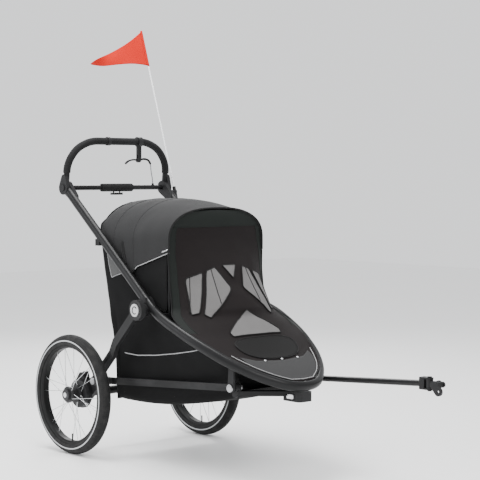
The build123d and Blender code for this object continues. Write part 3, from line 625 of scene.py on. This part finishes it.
RIDGE = ((0, 0.985), (0.236, 0.878), (0.472, 0.706), (0.7075, 0.558), (0.94, 0.385), (1, 0))    # behind the rear bow
CANOPY_LOW = ((57, 762), (92, 762), (232, 648), (262, 676), (440, 731))


def canopy_point(x, across):
    """Across runs from -1 at the right lower edge over the roof to 1 at the left lower edge."""
    rise = curve_value(ROOF_X, ROOF_RISE, x)
    low = straight_value(CANOPY_LOW, x)
    arch = 0.5 * math.pi * math.sqrt((CABIN_HALF ** 2 + rise ** 2) / 2)
    run = abs(across) * (arch + SHOULDER - low)
    side = 1 if across >= 0 else -1
    if run < arch:
        turn = run / arch * math.pi / 2
        square = 1 - 0.2 * ease((x - 260) / 170)
        y, z = CABIN_HALF * math.sin(turn) ** square, SHOULDER + rise * max(0.0, math.cos(turn)) ** square
        behind = ease((76 - x) / 30)
        z += (SHOULDER + rise * straight_value(RIDGE, y / CABIN_HALF) - z) * behind
    else:
        y, z = CABIN_HALF, SHOULDER - (run - arch)
    middle = math.sin(math.pi * min(1, max(0, (x - 72) / 358)))
    fold = ripple((x * 1.6, side * y, z), 95, 5.0) * middle
    pull = 3.0 * middle * math.sin(math.pi * min(1, run / arch)) if run < arch else 0
    y, z = y * (1 + (fold - pull) / 420), z + (fold - pull) * 0.5 * math.cos(min(1, run / arch) * math.pi / 2)
    return at(x + rear_shift(x, z, 57), side * y, z)


COVER = ((326, 880, 40, 883), (336, 857, 74, 862), (347, 836, 106, 843), (366, 797, 147, 807), (385, 757, 175, 769),
         (403, 718, 196, 738), (445, 638, 229, 676), (462, 598, 240, 655), (490, 541, 246, 628), (520, 482, 232, 600),
         (546, 458, 215, 592), (650, 440, 211, 522), (770, 436, 208, 462), (850, 438, 146, 452), (876, 440, 64, 444))
COVER_Z = [row[0] for row in COVER]
COVER_FOOT, COVER_HEIGHT = 326, 550
COVER_HALF, COVER_ARCH = 209.5, 108.5     # half width and rise of the arch above the shoulder


def cover_point(z, across):
    """Across runs from -1 at the cover's right edge to 1 at its left edge."""
    edge, half, middle = (curve_value(COVER_Z, [row[k] for row in COVER], z) for k in (1, 2, 3))
    if z > SHOULDER:
        half = COVER_HALF * max(0.01, 1 - ((z - SHOULDER) / COVER_ARCH) ** 2.5) ** 0.4
    sag = middle - edge
    radius = (half * half + sag * sag) / (2 * sag)
    turn = math.atan2(half, edge - (middle - radius)) * across
    x, y = middle - radius + radius * math.cos(turn), radius * math.sin(turn)
    inner = max(0.0, 1 - across ** 4) * math.sin(math.pi * (z - COVER_FOOT) / COVER_HEIGHT)
    inner *= 0.04 + 0.96 * ease((z - 520) / 120)
    return at(x - 1 + ripple((x, y, z * 1.4), 70, 4.0) * inner, y, z)


TUB = ((56, 202, 199, 763, 209.5), (240, 200, 196, 618, 210), (350, 203, 184, 530, 210), (450, 213, 164, 486, 216),
       (560, 231, 138, 440, 214), (650, 252, 112, 398, 190), (700, 270, 92, 372, 160))
TUB_X = [row[0] for row in TUB]
TUB_CORNER = 26.0


def tub_row(x):
    return [curve_value(TUB_X, [row[k] for row in TUB], x) for k in (1, 2, 3, 4)]


def tub_point(x, across):
    """Across: 0 under the middle of the floor, 0.3 to 0.4 round its edge, 1 at the top of a side."""
    low, half_low, high, half_high = tub_row(x)
    side, share = (1 if across >= 0 else -1), abs(across)
    if share < 0.3:
        y, z = (half_low - TUB_CORNER) * share / 0.3, low - 3.0 * math.cos(math.pi * share / 0.6)
    elif share < 0.4:
        turn = (share - 0.3) / 0.1 * math.pi / 2
        y = half_low - TUB_CORNER + TUB_CORNER * math.sin(turn)
        z = low + TUB_CORNER * (1 - math.cos(turn))
    else:
        t = (share - 0.4) / 0.6
        z = low + TUB_CORNER + (high - low - TUB_CORNER) * t
        y = half_low + (half_high - half_low) * t + 3.5 * math.sin(math.pi * t)
        y += ripple((x, side * 60, z), 80, 4.5) * math.sin(math.pi * t)
    return at(x + rear_shift(x, z, 56), side * min(y, 217), z)


def tub_wall(x, z, side):
    """The tub's side at a place seen from the side."""
    low, _, high, _ = tub_row(x)
    t = (z - low - TUB_CORNER) / (high - low - TUB_CORNER)
    return tub_point(x, side * (0.4 + 0.6 * t))


# ---- canopy ------------------------------------------------------------------------------------
CANOPY_STATIONS = [x for x, _ in CANOPY_LOW]
canopy = grid("canopy_cloth", canopy_point, spread(CANOPY_STATIONS, 60), spread([-1, 0, 1], 96), "canopy_fabric")
canopy = outward(canopy, canopy_point, (240, 0.0))
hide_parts("canopy")


def canopy_line(line, height=0.0006, spacing=0.006):
    return along_surface(canopy_point, line, spacing, height)


hem = [[(x, side * 0.998) for x in spread(CANOPY_STATIONS, 40)] for side in (-1, 1)]
front_edge, rear_edge = ([(x, v) for v in spread([-1, 0, 1], 60)] for x in (439.6, 57.3))
front_hem = [tube_mesh(canopy_line([p for p in line if p[0] >= 250]), 0.0017) for line in hem]
rear_hem = [tube_mesh(canopy_line([p for p in line if p[0] <= 255]), 0.0022) for line in hem]
arches = [tube_mesh(canopy_line(front_edge), 0.0030), tube_mesh(canopy_line(rear_edge), 0.0028)]
canopy_piping = joined("canopy_piping", front_hem, "piping")
canopy_binding = joined("canopy_binding", rear_hem + arches, "binding")
SEAM_X = (240, 132)
roof_seams = [[(x, v) for v in spread([-0.985, 0, 0.985], 70)] for x in SEAM_X]
seam_welts = [tube_mesh(canopy_line(line, 0.0002), 0.0013, 6, 0.6) for line in roof_seams]
canopy_welts = joined("canopy_welts", seam_welts, "canopy_fabric")
roof_rows = [[(x + dx, v) for _, v in line] for line, x in zip(roof_seams, SEAM_X) for dx in (-5, 5)]
hem_rows = [[(x, side * 0.975) for x in spread([100, 232, 262, 440], 30)] for side in (-1, 1)]
canopy_thread = joined("canopy_thread", stitches([canopy_line(line, 0.0003, 0.004) for line in roof_rows + hem_rows]),
                       "thread")
tab_lines = [canopy_line([(404, side * 0.955), (431, side * 0.958)], 0.0008, 0.003) for side in (-1, 1)]
canopy_tabs = joined("canopy_tabs", [tube_mesh(line, 0.0042, 8, 0.3) for line in tab_lines], "reflective")
# A dark flat strip on each side of the canopy near the hoop, laid where the canopy shows a dark notch.
dark_strip_lines = [canopy_line([(182, side * 0.80), (190, side * 0.86), (204, side * 0.965)], 0.0016, 0.004)
               for side in (-1, 1)]
canopy_dark_strips = joined("canopy_dark_strips", [tube_mesh(line, 0.009, 8, 0.16) for line in dark_strip_lines], "binding")
for obj in (canopy, canopy_piping, canopy_binding, canopy_welts, canopy_thread, canopy_tabs, canopy_dark_strips):
    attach(obj, "hoop")

# ---- front cover -----------------------------------------------------------------------------
cover_rows = spread([326, 392, 452, 816, 848, 872], 116)
cover_columns = spread([-1, -0.88, 0, 0.88, 1], 84)
cover = grid("cover_cloth", cover_point, cover_rows, cover_columns, "cover_fabric", 0)
cover.data.materials.append(LOOKS["rim_cloth"])
wide = len(cover_columns) - 1
for face in cover.data.polygons:
    i, j = divmod(face.index, wide)
    mid_z = (cover_rows[i] + cover_rows[i + 1]) / 2
    mid_v = (cover_columns[j] + cover_columns[j + 1]) / 2
    if mid_z > 816 or (abs(mid_v) > 0.88 and mid_z > 470):
        face.material_index = 1
cover = thicken(outward(cover, cover_point, (560, 0.0)), CLOTH)
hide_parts("front_cover")


def cover_trim(name, lines, look, radius, height, sides=8, flat=0.7, spacing=0.006, closed=False):
    """Cords, ribs or bindings laid along lines on the cover."""
    runs = [along_surface(cover_point, line, spacing, height, closed=closed) for line in lines]
    return joined(name, [tube_mesh(run, radius, sides, flat, closed) for run in runs], look)


WINDOW_OUTER = [(644, -0.77), (664, -0.49), (530, -0.64), (524, -0.75)]
WINDOW_INNER = [(668, -0.43), (680, -0.27), (608, -0.11), (514, -0.52), (526, -0.59)]
WINDOW_TOP = [(686, -0.135), (686, 0.135), (640, 0.0)]
WINDOW_LOW = [(538, 0.0), (512, 0.14), (503, 0.21), (468, 0.44), (456, 0.44), (459, 0.20), (459, -0.20), (456, -0.44),
              (468, -0.44), (503, -0.21), (512, -0.14)]


def mirrored(polygon):
    return [(z, -v) for z, v in polygon[::-1]]


windows = [WINDOW_OUTER, WINDOW_INNER, mirrored(WINDOW_OUTER), mirrored(WINDOW_INNER), WINDOW_TOP, WINDOW_LOW]
outlines = [rounded(polygon, 0.12) for polygon in windows]
window_objects = [patch(f"cover_window_{k + 1}", cover_point, outline, (4, 0.022), "window_net",
                        0.0022) for k, outline in enumerate(outlines)]
cover_bindings = cover_trim("cover_bindings", outlines, "binding", 0.0021, 0.0022, spacing=0.005, closed=True)
ribs = [[(650, side * 0.70), (530, side * 0.765)] for side in (-1, 1)]
ribs += [[(672, side * 0.345), (560, side * 0.345)] for side in (-1, 1)]
cover_ribs = cover_trim("cover_ribs", ribs, "binding", 0.0013, 0.0030, 6)


def oval(mid_z, half_z, half_v):
    """A squarish oval in the cover's own values."""
    count, power = 40, 2.6
    out = []
    for k in range(count):
        turn = 2 * math.pi * k / count
        c, s = math.cos(turn), math.sin(turn)
        out.append((mid_z + half_z * math.copysign(abs(s) ** (2 / power), s),
                    half_v * math.copysign(abs(c) ** (2 / power), c)))
    return out


BADGE = oval(419, 32, 0.61)
cover_badge = patch("cover_badge", cover_point, BADGE, (4, 0.025), "badge", 0.0024, 0.0012)
badge_rim = cover_trim("badge_rim", [BADGE], "binding", 0.0018, 0.0022, spacing=0.005, closed=True)
STUD_R, STUD_Z = 0.0042, 384
stud_lines = [[lifted(cover_point, STUD_Z, v, height) for height in (0.0010, 0.0042)] for v in (-0.42, 0.0, 0.42)]
badge_studs = joined("badge_studs", [tube_mesh(line, STUD_R, 14) for line in stud_lines], "reflective")
NOSE = [(330, -0.80), (345, -0.87), (384, -0.86), (398, -0.80), (386, -0.60), (381, 0.0), (386, 0.60), (398, 0.80),
        (384, 0.86), (345, 0.87), (330, 0.80)]
cover_nose = patch("cover_nose", cover_point, NOSE, (3.5, 0.03), "nose_cloth", 0.0018)
nose_line = [(404, -0.90), (372, -0.90), (345, -0.90), (331, -0.84), (329.5, 0.0), (331, 0.84), (345, 0.90),
             (372, 0.90), (404, 0.90)]
nose_piping = cover_trim("nose_piping", [nose_line], "piping", 0.0015, 0.0018, flat=1.0, spacing=0.005)
cover_edges = [[(z, side * 0.995) for z in spread([328, 870], 60)] for side in (-1, 1)]
cover_hem = cover_trim("cover_hem", cover_edges, "binding", 0.0030, 0.0006, flat=0.8)
visor_line = [(816, v) for v in spread([-0.97, 0, 0.97], 40)]
seam_lines = [visor_line] + [[(z, side * 0.88) for z in spread([470, 816], 40)] for side in (-1, 1)]
cover_seams = cover_trim("cover_seams", seam_lines, "rim_cloth", 0.0013, 0.0003, 6)
thread_lines = [[(z - 5, v) for z, v in visor_line]] + [[(z, v * 0.985) for z, v in line] for line in seam_lines[1:]]
thread_runs = [along_surface(cover_point, line, 0.004, 0.0005) for line in thread_lines]
cover_thread = joined("cover_thread", stitches(thread_runs), "thread")
cover_parts = [cover_bindings, cover_ribs, cover_badge, badge_rim, badge_studs, cover_nose, nose_piping, cover_hem,
               cover_seams, cover_thread] + window_objects
for obj in [cover] + cover_parts:
    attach(obj, "hoop")


def bend(*objects):
    for obj in objects:
        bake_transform(obj)


tub = grid("tub_cloth", tub_point, spread([56, 150, 240, 350, 450, 560, 650, 699], 70),
           spread([-1, -0.4, -0.3, 0, 0.3, 0.4, 1], 110), "tub_fabric", 0)
tub = thicken(outward(tub, tub_point, (300, -0.9)), CLOTH)
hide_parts("tub")


def tub_front_point(share, across):
    """The tub's closed front end."""
    low, half_low, high, half_high = tub_row(699)
    half = half_low + (half_high - half_low) * share
    bulge = 7 * math.sin(math.pi * share) * (1 - across * across)
    return at(699 + bulge, across * half, low + 2 + (high - low - 2) * share)


tub_front = grid("tub_front_cloth", tub_front_point, spread([0, 1], 14), spread([-1, 0, 1], 30), "tub_fabric", 0)
tub_front = thicken(outward(tub_front, tub_front_point, (0.5, 0.0), (0.01, 0.01)), CLOTH)
PIPE = [(185, 371), (199, 370), (260, 368), (348, 376), (455, 391), (560, 410), (603, 420)]
WINDOW_REAR = [(82, 752), (90, 683), (101, 632), (177, 650), (158, 697), (120, 742)]
pipes, rear_nets, vent_edges, tub_rows = [], [], [], []
for side in (-1, 1):
    def wall(x, z, side=side):
        return tub_wall(x, z, side)
    way = -0.0012 * side
    pipes.append(tube_mesh(along_surface(wall, dense(PIPE, 12), 0.006, way, ALONG_BOTH), 0.0019))
    name = "tub_vent_left" if side > 0 else "tub_vent_right"
    outline = rounded(WINDOW_REAR, 0.1)
    rear_nets.append(patch(name, wall, outline if side < 0 else outline[::-1], (9, 9), "vent_net",
                           way, 0.0006, ALONG_BOTH))
    vent_line = along_surface(wall, outline, 0.006, way * 1.2, ALONG_BOTH, True)
    vent_edges.append(tube_mesh(vent_line, 0.0016, closed=True))
    floor_edge = [(x, tub_row(x)[0] + TUB_CORNER + 4) for x in range(140, 690, 20)]
    for line in (dense([(x, z - 6) for x, z in PIPE], 12), floor_edge):
        tub_rows.append(along_surface(wall, line, 0.004, way * 0.4, ALONG_BOTH))
tub_piping = joined("tub_piping", pipes, "piping")
vent_piping = joined("vent_piping", vent_edges, "piping")
tub_thread = joined("tub_thread", stitches(tub_rows), "thread")

SIDE_PANEL = [(233, 646), (262, 676), (428, 727), (428, 531), (408, 531), (352, 549)]
side_cloths = []
for side, name in ((-1, "side_cloth_right"), (1, "side_cloth_left")):
    def panel(x, z, side=side):
        swell = 3 * math.sin(math.pi * (x - 233) / 195) + ripple((x, side * 90, z), 60, 3.0)
        return at(x, side * (210.5 - swell), z)
    side_cloths.append(patch(name, panel, SIDE_PANEL, (9, 9), "tub_fabric", 0.0, CLOTH, ALONG_BOTH))
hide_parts("side_panels")
for obj in side_cloths:
    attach(obj, "hoop")


def rear_point(share, across):
    """The rear panel: share runs up from the tub's rear corner to the roof."""
    z = 202 + 698 * share
    x = straight_value(REAR_LINE, z)
    half = 206.0 if z < SHOULDER else 208 * math.sqrt(max(0.0, 1 - ((z - SHOULDER) / 131.5) ** 2))
    if z < 386:
        half = 198 + 8 * (z - 202) / 184
    belly = 9 * math.sin(math.pi * max(0, z - 386) / 514) * (1 - across ** 4) if z > 386 else 0
    return at(x + 1.5 - belly + ripple((across * 200, z, 40), 90, 4) * (1 - across ** 2), across * half, z)


rear = grid("rear_cloth", rear_point, spread([0, 0.2636, 0.8138, 0.995], 60), spread([-1, 0, 1], 50), "tub_fabric", 0)
rear = thicken(outward(rear, rear_point, (0.5, 0.0), (0.01, 0.01)), CLOTH)
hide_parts("rear_panel")
REAR_WINDOW = rounded([(0.66, -0.62), (0.66, 0.62), (0.86, 0.50), (0.86, -0.50)], 0.16)
POCKET = rounded([(0.30, -0.72), (0.30, 0.72), (0.50, 0.72), (0.50, -0.72)], 0.12)
rear_step = (0.004, 0.01)
rear_cell = (0.02, 0.05)
rear_window = patch("rear_window", rear_point, REAR_WINDOW, rear_cell, "vent_net",
                    0.001, 0.0006, rear_step)
rear_outlines = [along_surface(rear_point, line, 0.006, 0.0014, rear_step, True) for line in (REAR_WINDOW, POCKET)]
rear_edges = joined("rear_binding", [tube_mesh(line, 0.002, 8, 0.7, True) for line in rear_outlines],
                    "binding")
rear_pocket = patch("rear_pocket", rear_point, POCKET, rear_cell, "rim_cloth",
                    0.0016, 0.0012, rear_step)
bend(tub, tub_front, tub_piping, vent_piping, tub_thread, rear, rear_window, rear_edges, rear_pocket, *rear_nets)

# ---- seat pads and harness ------------------------------------------------------------------------
def cushion(name, place, size, crown, channels):
    """A crowned pad with sewn channels; place() takes -1..1 across, -1..1 along and the height in metres."""
    cells = 34
    us = vs = [-1 + 2 * k / cells for k in range(cells + 1)]

    def height(u, v):
        edge = (1 - abs(u) ** 5) * (1 - abs(v) ** 5)
        groove = sum(math.exp(-((v - c) / 0.035) ** 2) for c in channels)
        return crown * max(0.0, edge) ** 0.5 * (1 - 0.55 * min(1, groove))

    def pulled(u, v):
        pull = 1 - 0.018 * (1 - v * v), 1 - 0.018 * (1 - u * u)
        return u * (pull[0] if abs(u) > 0.9 else 1), v * (pull[1] if abs(v) > 0.9 else 1)

    points, faces = [], []
    for layer in (1, -1):
        for u in us:
            for v in vs:
                inner = abs(u) < 1 and abs(v) < 1
                lift = height(u, v) if layer > 0 else (-size / 2 if inner else 0)
                points.append(place(*pulled(u, v), size / 2 + lift))
    row = cells + 1
    total = row * row
    for i in range(cells):
        for j in range(cells):
            a = i * row + j
            quad = (a, a + row, a + row + 1, a + 1)
            faces.append(quad)
            faces.append(tuple(total + k for k in quad[::-1]))
    rim = [i * row for i in range(row)] + [cells * row + j for j in range(1, row)]
    rim += [i * row + cells for i in range(cells - 1, -1, -1)] + list(range(cells - 1, 0, -1))
    for a, b in zip(rim, rim[1:] + rim[:1]):
        faces.append((a, b, total + b, total + a)[::-1])
    obj = piece(name, points, faces, "pad_fabric")
    work = bmesh.new()
    work.from_mesh(obj.data)
    bmesh.ops.remove_doubles(work, verts=work.verts, dist=0.0002)
    bmesh.ops.recalc_face_normals(work, faces=work.faces)
    work.to_mesh(obj.data)
    work.free()
    return thicken(obj, 0, 1)


def seat_place(u, v, lift):
    low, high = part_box("seat_base")
    mid = (low + high) / 2
    return Vector((mid.x + (high.x - low.x) / 2 * 0.985 * v, (high.y - low.y) / 2 * 0.985 * u, low.z + 0.001 + lift))


def back_place(u, v, lift):
    foot, top = at(194, 0, 338), at(122, 0, 716)
    way = (top - foot).normalized()
    out = Vector((way.z, 0, -way.x))
    mid = (foot + top) / 2
    return mid + way * ((top - foot).length / 2 * 0.985 * v) + Vector((0, 0.172 * u, 0)) + out * (lift - 0.0275)


seat_cushion = cushion("seat_cushion", seat_place, 0.022, 0.012, (-0.34, 0.34))
back_cushion = cushion("back_cushion", back_place, 0.018, 0.010, (-0.5, 0.0, 0.5))
for obj, node in ((seat_cushion, "seat_base"), (back_cushion, "seat_back")):
    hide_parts(node)
    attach(obj, "chassis")


def strap(line):
    """A flat webbing strap, 25 mm wide, along a line of points."""
    return tube_mesh(line, 0.0125, 12, 0.09)


def steps_to_one(count):
    return [k / count for k in range(count + 1)]


straps, pads = [], []
for side in (-1, 1):
    shoulder = [at(198 - 72 * t - 1.5 * math.sin(math.pi * t), side * (52 + 8 * t), 352 + 335 * t)
                for t in steps_to_one(24)]
    straps.append(strap([p + Vector((0.0025, 0, 0)) for p in shoulder]))
    pads.append(tube_mesh([p + Vector((0.0075, 0, 0)) for p in shoulder[8:17]], 0.022, 14, 0.28))
    straps.append(strap([at(232 - 20 * t * t, side * (24 + 124 * t), 337 + 3 * math.sin(math.pi * t))
                         for t in steps_to_one(14)]))
straps.append(strap([at(232 + 60 * t, 0, 338 - 1.5 * t) for t in steps_to_one(10)]))
harness = joined("harness_straps", straps, "webbing")
harness_pads = joined("harness_pads", pads, "pad_fabric")
buckle = joined("harness_buckle", [tube_mesh([at(230, 0, 336 + dz) for dz in (0, 1.5, 8, 9.5)], 0.021, 28, 0.82)],
                "black_plastic")
button = joined("buckle_button", [tube_mesh([at(230, 0, 345), at(230, 0, 347.2)], 0.0085, 24)],
                "reflective")
for obj in (harness, harness_pads, buckle, button):
    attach(obj, "chassis")
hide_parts("harness")
for obj in (back_cushion, harness, harness_pads):
    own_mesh(obj)

# ---- pennant -------------------------------------------------------------------------------------
POLE_FOOT, POLE_TOP, TIP = at(-92, 262, 868), at(-322, 262, 1561), at(-540, 168, 1438)
pole_way = (POLE_TOP - POLE_FOOT).normalized()


def flag_point(out, down):
    start = POLE_TOP - pole_way * (0.003 + 0.144 * down)
    flat = start + (TIP - start) * out
    away = (TIP - POLE_TOP).cross(pole_way).normalized()
    wave = math.sin(out * 6.6 + down * 1.4) * 0.011 * out + math.sin(out * 13 - down * 3) * 0.003 * out
    sag = 0.011 * math.sin(math.pi * out ** 0.8) * (1 - down) - 0.006 * math.sin(2 * math.pi * out) * down
    return flat + away * wave + Vector((0, 0, -sag))


pennant = grid("pennant_cloth", flag_point, spread([0, 0.985], 46), spread([0, 1], 22), "flag_fabric", 0.0004)
hems = [[(out, edge) for out in spread([0, 0.985], 30)] for edge in (0.03, 0.97)]
hem_lines = [[flag_point(u, v) for u, v in line] for line in hems]
pennant_thread = joined("pennant_thread", stitches(hem_lines, radius=0.0006), "flag_fabric")
sleeve_line = [POLE_TOP - pole_way * (0.001 + 0.0092 * k) for k in range(17)]
pennant_sleeve = joined("pennant_sleeve", [tube_mesh(sleeve_line, 0.0042, 12)], "flag_fabric")
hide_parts("pennant")
for obj in (pennant, pennant_thread, pennant_sleeve):
    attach(obj, "hoop")

# ---- dark marks pressed into the latch discs -----------------------------------------------------
MARK_R = 0.0125
for side, name in ((1, "left"), (-1, "right")):
    low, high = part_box(f"latch_button_{name}")
    middle = (low + high) / 2
    face_y = high.y if side > 0 else low.y
    turns = [math.radians(40 + 11 * k) for k in range(25)]
    mark = [Vector((middle.x + MARK_R * math.cos(turn), face_y - side * 0.0004, middle.z + MARK_R * math.sin(turn)))
            for turn in turns]
    latch_mark = joined(f"latch_mark_{name}", [tube_mesh(mark, 0.0024, 10, 0.6)], "frame_paint")
    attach(latch_mark, f"latch_button_{name}")

# ---- brake cable ---------------------------------------------------------------------------------
CABLE_ROUTE = [(-122.3, 150.7, 1035), (-124, 153, 1019), (-128.5, 160, 999), (-133, 168, 980), (-135.6, 171.6, 962.7)]
CABLE_R = 0.002


def cable_line():
    """The points of the smooth curve that the cable follows."""
    line = bpy.data.curves.new("cable_line", "CURVE")
    line.dimensions = "3D"
    line.resolution_u = 24
    run = line.splines.new("NURBS")
    run.points.add(len(CABLE_ROUTE) - 1)
    for point, place in zip(run.points, CABLE_ROUTE):
        point.co = (*at(*place), 1)
    run.order_u = 3
    run.use_endpoint_u = True
    holder = bpy.data.objects.new("cable_line", line)
    bpy.context.collection.objects.link(holder)
    mesh = bpy.data.meshes.new_from_object(holder.evaluated_get(bpy.context.evaluated_depsgraph_get()))
    points = [v.co.copy() for v in mesh.vertices]
    bpy.data.objects.remove(holder)
    return points


cable_points = cable_line()
cable = joined("brake_cable_housing", [tube_mesh(cable_points, CABLE_R, 16)], "cable_housing")
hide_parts("brake_cable")
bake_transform(cable)

# ---- floor ----------------------------------------------------------------------------------------
floor_shape = Graph("floor")
tone = floor_shape.noise(floor_shape.coords(), 1.3)
HALF_FLOOR = 9.0
corners = [(x * HALF_FLOOR, y * HALF_FLOOR, 0) for x, y in ((-1, -1), (1, -1), (1, 1), (-1, 1))]
floor_colour = floor_shape.mix(tone, (0.92, 0.92, 0.92), (0.94, 0.94, 0.94))
LOOKS["floor"] = floor_shape.finish(Base_Color=floor_colour, Roughness=0.6)
floor = piece("floor", corners, [(0, 1, 2, 3)], "floor")
